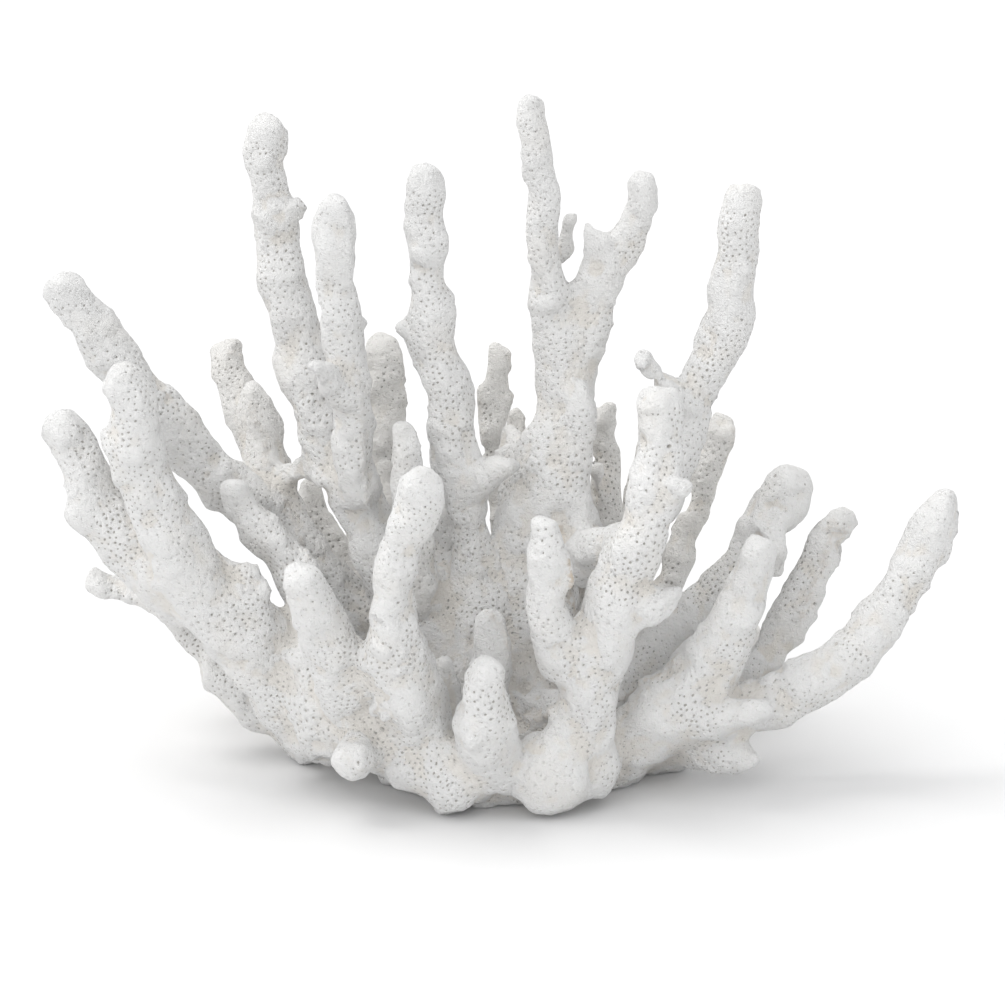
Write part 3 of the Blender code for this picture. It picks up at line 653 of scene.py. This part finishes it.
def chosen_seeds(points, crests, edgy, marks, chance):
    """Seeds of the skin's cells, and how large a cup each has, 0 for none."""
    count = len(points)
    tree = tree_of(points)
    under = points[:, 2] <= 0.0
    places = [Vector(point) for point in points]
    patches = np.array([noise.noise(place / BARE_PATCH_WIDTH) for place in places])
    finer = np.array([noise.noise(place / (FINER_PATCHES * BARE_PATCH_WIDTH)) for place in places])
    patches += FINER_PATCH_SHARE * finer
    bare = crests + CREST_SPREAD * chance.standard_normal(count) > CREST_BARE
    bare |= patches > BARE_PATCH_LEVEL
    bare |= points[:, 2] < CUP_SPACING
    bare |= marks.worn
    taken = np.zeros(count, bool)
    cupped_near = np.zeros(count, bool)
    seeds = []
    cups = []
    for place, size in marks.holes:
        for _, near, _ in tree.find_range(points[place], HOLE_SPACING):
            cupped_near[near] = True
            taken[near] = True
        seeds.append(place)
        cups.append(size)
    order = chance.permutation(count)
    for place in order[~bare[order]]:
        if cupped_near[place]:
            continue
        thinning = noise.noise(places[place] / CUP_SIZE_WIDTH + WRINKLE_SHIFT)
        spacing = CUP_SPACING + CUP_SPARSER * max(0.0, thinning * THINNING)
        for _, near, apart in tree.find_range(points[place], spacing):
            cupped_near[near] = True
            if apart < max(PLAIN_SPACING, PLAIN_SHARE * spacing):
                taken[near] = True
        shift = noise.noise(places[place] / CUP_SIZE_WIDTH)
        fade = min(1.0, CUP_AT_PATCH + (BARE_PATCH_LEVEL - patches[place]) / BARE_FADE)
        size = (CUP_SIZE + CUP_SIZE_SHIFT * shift) * chance.uniform(*CUP_SIZE_SPREAD) * fade
        seeds.append(place)
        cups.append(max(SMALLEST_CUP, min(LARGEST_CUP, size)))
    for allowed, spacing in (
        (marks.sharp & ~under, MARK_SPACING),
        (edgy & ~under, EDGE_SPACING),
        (~under, PLAIN_SPACING),
        (under, UNDERSIDE_SPACING),
    ):
        for place in order[allowed[order]]:
            if taken[place]:
                continue
            for _, near, _ in tree.find_range(points[place], spacing):
                taken[near] = True
            seeds.append(place)
            cups.append(0.0)
    return np.array(seeds), np.array(cups)


def nearest_seeds(points, edges, seeds):
    """For each point, which seed is nearest along the skin."""
    reach = np.full(len(points), np.inf)
    owner = np.full(len(points), -1)
    reach[seeds] = 0.0
    owner[seeds] = np.arange(len(seeds))
    start = np.concatenate([edges[:, 0], edges[:, 1]])
    end = np.concatenate([edges[:, 1], edges[:, 0]])
    length = np.linalg.norm(points[start] - points[end], axis=1)
    while True:
        offer = reach[start] + length
        best = reach.copy()
        np.minimum.at(best, end, offer)
        won = (offer <= best[end]) & (offer < reach[end])
        if not won.any():
            return owner
        owner[end[won]] = owner[start[won]]
        reach = best


def cell_net(points, triangles, edges, seeds):
    """The net of triangles between neighbouring seeds."""
    owner = nearest_seeds(points, edges, seeds)
    corners = owner[triangles]
    apart = (
        (corners[:, 0] != corners[:, 1])
        & (corners[:, 1] != corners[:, 2])
        & (corners[:, 2] != corners[:, 0])
    )
    corners = corners[apart]
    _, first = np.unique(np.sort(corners, axis=1), axis=0, return_index=True)
    return corners[np.sort(first)]


def mended(net):
    """Closes the few places where the net of cells is torn or doubled."""
    for _ in range(MENDING_ROUNDS):
        torn = [edge for edge in net.edges if len(edge.link_faces) != 2]
        if not torn:
            break
        doubled = {face for edge in torn if len(edge.link_faces) > 2 for face in edge.link_faces}
        bmesh.ops.delete(net, geom=list(doubled), context="FACES")
        loose = [edge for edge in net.edges if not edge.link_faces]
        bmesh.ops.delete(net, geom=loose, context="EDGES")
        lone = [vert for vert in net.verts if not vert.link_edges]
        bmesh.ops.delete(net, geom=lone, context="VERTS")
        rims = [edge for edge in net.edges if len(edge.link_faces) == 1]
        filled = bmesh.ops.holes_fill(net, edges=rims, sides=0)
        bmesh.ops.triangulate(net, faces=filled["faces"])
    bmesh.ops.recalc_face_normals(net, faces=net.faces)


def piece_numbers(net, nodes, names):
    """Which solid each seed of the net lies on, with stray seeds given to their neighbours."""
    corners = []
    faces = []
    owners = []
    for number, name in enumerate(names):
        mesh = nodes[name].data
        shift = len(corners)
        corners.extend(vert.co.copy() for vert in mesh.vertices)
        for polygon in mesh.polygons:
            faces.append([shift + corner for corner in polygon.vertices])
            owners.append(number)
    solids = BVHTree.FromPolygons(corners, faces)
    numbers = [owners[solids.find_nearest(vert.co)[2]] for vert in net.verts]
    neighbours = [[edge.other_vert(vert).index for edge in vert.link_edges] for vert in net.verts]
    for _ in range(VOTING_ROUNDS):
        voted = []
        for place, near in enumerate(neighbours):
            votes = [numbers[other] for other in near] + [numbers[place]]
            voted.append(max(set(votes), key=lambda number: (votes.count(number), -number)))
        numbers = voted
    seen = set()
    for start in range(len(numbers)):
        if start in seen:
            continue
        island = [start]
        seen.add(start)
        around = []
        for place in island:
            for other in neighbours[place]:
                if numbers[other] != numbers[start]:
                    around.append(numbers[other])
                elif other not in seen:
                    seen.add(other)
                    island.append(other)
        if len(island) < SMALLEST_ISLAND and around:
            given = max(set(around), key=around.count)
            for place in island:
                numbers[place] = given
    return numbers


def cell_mesh(skin, marks, nodes, names):
    """The net of cells over the skin, with each seed's cup, hollowness and piece."""
    points = points_of(skin)
    triangles = triangles_of(skin)
    edges = edges_of(triangles)
    crests = crests_of(points, normals_of(skin), edges, CREST_PASSES)
    edgy = crests_of(points, normals_of(skin), edges, EDGE_PASSES) > EDGE_CREST
    chance = np.random.default_rng(CUP_SEED)
    seeds, cups = chosen_seeds(points, crests, edgy | marks.fine, marks, chance)
    corners = cell_net(points, triangles, edges, seeds)
    net = bmesh.new()
    cup = net.verts.layers.float.new("cup")
    crest = net.verts.layers.float.new("crest")
    brown = net.verts.layers.float.new("brown")
    for place, size in zip(seeds, cups):
        vert = net.verts.new(points[place])
        vert[cup] = size
        vert[crest] = crests[place] / MM
        vert[brown] = marks.brown[place]
    net.verts.ensure_lookup_table()
    for corner in corners:
        net.faces.new([net.verts[place] for place in corner])
    mended(net)
    net.verts.index_update()
    piece = net.verts.layers.int.new("piece")
    numbers = piece_numbers(net, nodes, names)
    for vert, number in zip(net.verts, numbers):
        vert[piece] = number
    made = bpy.data.meshes.new("cells")
    net.to_mesh(made)
    net.free()
    return made


def cup_tree(skin_finish, cup_shade_lining):
    """The nodes that turn the net into cells and sink a cup into each cell that has one."""
    tree = bpy.data.node_groups.new("sunk_cups", "GeometryNodeTree")
    face = tree.interface
    face.new_socket("Skin", in_out="INPUT", socket_type="NodeSocketGeometry")
    for name, value in (
        ("Cup Width", CUP_WIDTH),
        ("Cup Depth", CUP_DEPTH),
        ("Cup Rim", CUP_RIM),
        ("Cup Floor", CUP_FLOOR),
    ):
        socket = face.new_socket(name, in_out="INPUT", socket_type="NodeSocketFloat")
        socket.default_value = value
    face.new_socket("Skin", in_out="OUTPUT", socket_type="NodeSocketGeometry")
    sheet = Sheet(tree)
    given = sheet.node("NodeGroupInput")
    width = sheet.other(given, "Cup Width")
    depth = sheet.other(given, "Cup Depth")
    rim = sheet.other(given, "Cup Rim")
    floor = sheet.other(given, "Cup Floor")
    cells = sheet.node("GeometryNodeDualMesh", {}, {"Mesh": given})
    size = sheet.node("GeometryNodeInputNamedAttribute", {"data_type": "FLOAT"}, {"Name": "cup"})
    crest = sheet.node(
        "GeometryNodeInputNamedAttribute", {"data_type": "FLOAT"}, {"Name": "crest"}
    )
    kept = sheet.node(
        "GeometryNodeStoreNamedAttribute",
        {"data_type": "FLOAT", "domain": "POINT"},
        {"Geometry": cells, "Name": "height", "Value": crest},
    )
    brown = sheet.node(
        "GeometryNodeInputNamedAttribute", {"data_type": "FLOAT"}, {"Name": "brown"}
    )
    browned = sheet.node(
        "GeometryNodeStoreNamedAttribute",
        {"data_type": "FLOAT", "domain": "POINT"},
        {"Geometry": kept, "Name": "stain", "Value": brown},
    )
    area = sheet.node("GeometryNodeInputMeshFaceArea")
    rims = sheet.node(
        "GeometryNodeExtrudeMesh",
        {"mode": "FACES"},
        {"Mesh": browned, "Selection": size.over(0.0), "Offset Scale": rim, "Individual": True},
    )
    mouths = sheet.node(
        "GeometryNodeScaleElements",
        {"domain": "FACE"},
        {
            "Geometry": rims,
            "Selection": sheet.other(rims, "Top"),
            "Scale": size * width / area ** 0.5,
        },
    )
    walls = sheet.node(
        "GeometryNodeExtrudeMesh",
        {"mode": "FACES"},
        {
            "Mesh": mouths,
            "Selection": sheet.other(rims, "Top"),
            "Offset Scale": size * depth * -1.0,
            "Individual": True,
        },
    )
    floors = sheet.node(
        "GeometryNodeScaleElements",
        {"domain": "FACE"},
        {"Geometry": walls, "Selection": sheet.other(walls, "Top"), "Scale": floor},
    )
    inside = sheet.node(
        "FunctionNodeBooleanMath",
        {"operation": "OR"},
        {0: sheet.other(walls, "Top"), 1: sheet.other(walls, "Side")},
    )
    smooth = sheet.node("GeometryNodeSetShadeSmooth", {}, {0: floors})
    real = sheet.node("GeometryNodeRealizeInstances", {}, {"Geometry": smooth})
    painted = sheet.node(
        "GeometryNodeSetMaterial", {}, {"Geometry": real, "Material": skin_finish}
    )
    # The cups' walls and floors get the lining with painted shade
    lined = sheet.node(
        "GeometryNodeSetMaterial",
        {},
        {"Geometry": painted, "Selection": inside, "Material": cup_shade_lining},
    )
    sheet.node("NodeGroupOutput", {}, {0: lined})
    return tree


def cupped(cells, skin_finish, cup_shade_lining):
    """The finished skin of the whole colony, with its cups."""
    carrier = scratch_object(cells)
    # The second finish is the cup lining, with painted shade
    cells.materials.append(skin_finish)
    cells.materials.append(cup_shade_lining)
    modifier = carrier.modifiers.new("cups", "NODES")
    modifier.node_group = cup_tree(skin_finish, cup_shade_lining)
    sizes = {
        "Cup Width": CUP_WIDTH,
        "Cup Depth": CUP_DEPTH,
        "Cup Rim": CUP_RIM,
        "Cup Floor": CUP_FLOOR,
    }
    for item in modifier.node_group.interface.items_tree:
        if item.name in sizes:
            modifier[item.identifier] = sizes[item.name]
    made = evaluated(carrier, "skin")
    bpy.data.objects.remove(carrier)
    return made


def keep_normals(skin):
    """Stores each point's own normal, so that the parted pieces still shade as one skin."""
    stored = skin.attributes.new("grown_normal", "FLOAT_VECTOR", "POINT")
    stored.data.foreach_set("vector", normals_of(skin).astype(np.float32).ravel())


def rim_loops(shape):
    """The closed loops of open edges round a piece, each as a list of its points in order."""
    after = {}
    for edge in shape.edges:
        if len(edge.link_loops) != 1:
            continue
        loop = edge.link_loops[0]
        after.setdefault(loop.link_loop_next.vert, []).append(loop.vert)
    loops = []
    while after:
        start = next(iter(after))
        loop = [start]
        place = start
        while True:
            ends = after[place]
            step = ends.pop()
            if not ends:
                del after[place]
            if step == start:
                break
            if step not in after:
                loop = []
                break
            loop.append(step)
            place = step
        if len(loop) > 2:
            loops.append(loop)
    return loops


def capped(shape):
    """Closes a piece where it was parted from the next one."""
    normal = shape.verts.layers.float_vector["grown_normal"]
    for loop in rim_loops(shape):
        middle = shape.verts.new(sum((vert.co for vert in loop), Vector()) / len(loop))
        middle[normal] = Vector((0.0, 0.0, 1.0))
        for place, vert in enumerate(loop):
            made = shape.faces.new((vert, loop[(place + 1) % len(loop)], middle))
            made.smooth = False
            made.tag = True


def halved(shape, front):
    """One side of the base, parted at an upright plane through it and closed there."""
    half = shape.copy()
    cut = bmesh.ops.bisect_plane(
        half,
        geom=[*half.verts, *half.edges, *half.faces],
        plane_co=(0.0, BASE_PARTING_PLANE, 0.0),
        plane_no=(0.0, 1.0, 0.0),
        clear_outer=front,
        clear_inner=not front,
    )
    rim = [item for item in cut["geom_cut"] if isinstance(item, bmesh.types.BMEdge)]
    rim = [edge for edge in rim if len(edge.link_faces) == 1]
    filled = bmesh.ops.triangle_fill(
        half, use_beauty=True, edges=rim, normal=(0.0, 1.0 if front else -1.0, 0.0)
    )
    for item in filled["geom"]:
        if isinstance(item, bmesh.types.BMFace):
            item.smooth = False
    return half


def finished_piece(shape, name, node, finishes):
    """A parted piece as an object that stands for its solid."""
    bmesh.ops.triangulate(shape, faces=[face for face in shape.faces if len(face.verts) > 3])
    mesh = bpy.data.meshes.new(name)
    shape.to_mesh(mesh)
    shape.free()
    for finish in finishes:
        mesh.materials.append(finish)
    corner_points = np.empty(len(mesh.loops), np.int64)
    mesh.loops.foreach_get("vertex_index", corner_points)
    grown = np.empty(len(mesh.vertices) * 3, np.float32)
    mesh.attributes["grown_normal"].data.foreach_get("vector", grown)
    shading = grown.reshape(-1, 3)[corner_points]
    flat = np.empty(len(mesh.polygons) * 3, np.float32)
    mesh.polygons.foreach_get("normal", flat)
    smooth = np.empty(len(mesh.polygons), bool)
    mesh.polygons.foreach_get("use_smooth", smooth)
    corner_faces = np.repeat(np.arange(len(mesh.polygons)), 3)
    on_cap = ~smooth[corner_faces]
    shading[on_cap] = flat.reshape(-1, 3)[corner_faces][on_cap]
    mesh.normals_split_custom_set(shading.tolist())
    mesh.attributes.remove(mesh.attributes["grown_normal"])
    made = scratch_object(mesh)
    made.name = name
    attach(made, "root")
    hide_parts(node)


def parted(skin, names, finishes):
    """Parts the skin at the forks, one closed piece for each solid, and the base in two."""
    keep_normals(skin)
    whole = bmesh.new()
    whole.from_mesh(skin)
    piece = whole.faces.layers.int["piece"]
    groups = {}
    for face in whole.faces:
        groups.setdefault(face[piece], []).append(face)
    normal = whole.verts.layers.float_vector["grown_normal"]
    height = whole.verts.layers.float["height"]
    stain = whole.verts.layers.float["stain"]
    for number, name in enumerate(names):
        faces = groups.get(number)
        if not faces:
            raise RuntimeError("no skin lies on " + name)
        shape = bmesh.new()
        new_normal = shape.verts.layers.float_vector.new("grown_normal")
        new_height = shape.verts.layers.float.new("height")
        new_stain = shape.verts.layers.float.new("stain")
        copies = {}
        for face in faces:
            corners = []
            for vert in face.verts:
                copy = copies.get(vert)
                if copy is None:
                    copy = shape.verts.new(vert.co)
                    copy[new_normal] = vert[normal]
                    copy[new_height] = vert[height]
                    copy[new_stain] = vert[stain]
                    copies[vert] = copy
                corners.append(copy)
            made = shape.faces.new(corners)
            made.material_index = face.material_index
            made.smooth = True
        capped(shape)
        if name == "base":
            for side, front in (("front", True), ("rear", False)):
                half = halved(shape, front)
                finished_piece(half, "base_" + side + "_skin", name, finishes)
            shape.free()
        else:
            finished_piece(shape, name + "_skin", name, finishes)
    whole.free()


def material(name):
    made = bpy.data.materials.new(name)
    made.use_nodes = True
    made.node_tree.nodes.clear()
    return made, Sheet(made.node_tree)


def noise_of(sheet, place, width, detail=2.0, roughness=0.5):
    return sheet.node(
        "ShaderNodeTexNoise",
        {},
        {"Vector": place, "Scale": 1.0 / width, "Detail": detail, "Roughness": roughness},
    )


def ramp_of(sheet, wire, low, high):
    """0 below the low value, 1 above the high one, and smooth between."""
    return sheet.node(
        "ShaderNodeMapRange",
        {"interpolation_type": "SMOOTHSTEP"},
        {"Value": wire, "From Min": low, "From Max": high, "To Min": 0.0, "To Max": 1.0},
    )


def mixed(sheet, share, first, second):
    return sheet.node(
        "ShaderNodeMix", {"data_type": "RGBA"}, {0: share, 6: first, 7: second}, out=2
    )


def chalk_skin():
    """Matte chalky white, finely grained, creamier and darker in the hollows: painted shade, partly a
    cream stain.
    """
    made, sheet = material("chalk_skin")
    place = sheet.other(sheet.node("ShaderNodeTexCoord"), "Object")
    height = sheet.node("ShaderNodeAttribute", {"attribute_name": "height"}, {}, out=2)
    brown = sheet.node("ShaderNodeAttribute", {"attribute_name": "stain"}, {}, out=2)
    behind = ramp_of(sheet, sheet.node("ShaderNodeSeparateXYZ", {}, {0: place}, out=1), 0.0, 0.06)
    # Painted shade: the lower a point sits against its surroundings, the more cream and darker it
    # gets, partly a cream stain
    hollow = 1.0 - ramp_of(sheet, height, -0.35, 0.35)
    cloud = noise_of(sheet, place, CLOUD_WIDTH, 3.0)
    stain = ramp_of(sheet, cloud, 0.5, 0.72)
    grain = noise_of(sheet, place, GRAIN_WIDTH, 4.0, 0.65)
    grit = noise_of(sheet, place, GRIT_WIDTH, 4.0, 0.6)
    specks = sheet.node(
        "ShaderNodeTexVoronoi", {}, {"Vector": place, "Scale": 1.0 / SPECK_SPACING}
    )
    dimple = 1.0 - ramp_of(sheet, specks, 0.08, 0.24)
    white = mixed(sheet, cloud, CHALK_DIMMER, CHALK_LIGHTER)
    warm = mixed(sheet, behind * 0.5, white, CHALK_BEHIND)
    # Painted shade in the hollows, partly cream stain, and the cloudy cream stains, mixed into the
    # white
    stained_and_shaded = mixed(sheet, hollow * 0.42 + stain * 0.15, warm, CREAM_STAIN_AND_HOLLOW_SHADE)
    specked = mixed(sheet, dimple * 0.3, stained_and_shaded, SPECK_GREY)
    browned = mixed(sheet, brown * ramp_of(sheet, grit, 0.35, 0.6), specked, SEAM_BROWN)
    relief = grain * 0.8 + grit * 1.3 - dimple * 0.3
    bump = sheet.node(
        "ShaderNodeBump", {}, {"Strength": 1.0, "Distance": BUMP_HEIGHT, "Height": relief}
    )
    surface = sheet.node(
        "ShaderNodeBsdfPrincipled",
        {},
        {
            "Base Color": browned,
            "Roughness": 0.82 + grain * 0.12,
            "Specular IOR Level": 0.3,
            "Normal": bump,
        },
    )
    sheet.node("ShaderNodeOutputMaterial", {}, {"Surface": surface})
    return made


def cup_lining_with_shade():
    """The inside of the cups: greyer and darker than the skin, painted shade with some dust."""
    made, sheet = material("cup_lining_with_shade")
    place = sheet.other(sheet.node("ShaderNodeTexCoord"), "Object")
    cloud = noise_of(sheet, place, LINING_CLOUD_WIDTH)
    # Painted shade inside the cups: a darker grey lining, clouded, with some dust
    dust_and_shade = mixed(sheet, cloud, LINING_SHADE_DARKER, LINING_SHADE_LIGHTER)
    surface = sheet.node(
        "ShaderNodeBsdfPrincipled",
        {},
        {"Base Color": dust_and_shade, "Roughness": 0.9 + cloud * 0.08, "Specular IOR Level": 0.2},
    )
    sheet.node("ShaderNodeOutputMaterial", {}, {"Surface": surface})
    return made


def studio_floor():
    """The wide plain pale floor under the colony."""
    made, sheet = material("white_sweep")
    place = sheet.other(sheet.node("ShaderNodeTexCoord"), "Object")
    cloud = noise_of(sheet, place, FLOOR_CLOUD_WIDTH)
    white = mixed(sheet, cloud, FLOOR_DIMMER, FLOOR_LIGHTER)
    surface = sheet.node(
        "ShaderNodeBsdfPrincipled",
        {},
        {"Base Color": white, "Roughness": 0.9, "Specular IOR Level": 0.1},
    )
    sheet.node("ShaderNodeOutputMaterial", {}, {"Surface": surface})
    shape = bmesh.new()
    bmesh.ops.create_grid(shape, x_segments=1, y_segments=1, size=FLOOR_HALF_WIDTH)
    mesh = bpy.data.meshes.new("floor")
    shape.to_mesh(mesh)
    shape.free()
    mesh.materials.append(made)
    floor = scratch_object(mesh)


def soft_light(name, direction, spread, strength, colour):
    """Even light that comes from one direction, as from a large softbox far away."""
    lamp = bpy.data.lights.new(name, "SUN")
    lamp.angle = math.radians(spread)
    lamp.energy = strength
    lamp.color = colour
    made = bpy.data.objects.new(name, lamp)
    made.rotation_euler = (-Vector(direction)).to_track_quat("-Z", "Y").to_euler()
    bpy.context.scene.collection.objects.link(made)


def studio():
    """A white room, soft light from above, the left and the front, and the camera."""
    scene = bpy.context.scene
    world = bpy.data.worlds.new("white_room")
    world.use_nodes = True
    background = world.node_tree.nodes["Background"]
    background.inputs["Color"].default_value = WORLD_COLOUR
    background.inputs["Strength"].default_value = WORLD_STRENGTH
    scene.world = world
    for light in LIGHTS:
        soft_light(*light)
    scene.view_settings.view_transform = "Standard"
    view = bpy.data.cameras.new("view")
    view.lens = SENSOR * EYE_DISTANCE / (2.0 * VIEW_MIDDLE * PIXEL)
    view.sensor_width = SENSOR
    view.clip_end = VIEW_REACH
    camera = bpy.data.objects.new("view", view)
    camera.location = EYE
    camera.rotation_euler = (EYE_TILT, 0.0, 0.0)
    scene.collection.objects.link(camera)
    scene.camera = camera


def main():
    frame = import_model()
    nodes = frame["nodes"]
    names = sorted(nodes)
    studio()
    studio_floor()
    # The second finish is the cup lining, with painted shade inside the cups
    finishes = [chalk_skin(), cup_lining_with_shade()]
    skin = soft_skin(nodes)
    marks = pressed(skin)
    cells = cell_mesh(skin, marks, nodes, names)
    parted(cupped(cells, *finishes), names, finishes)


main()
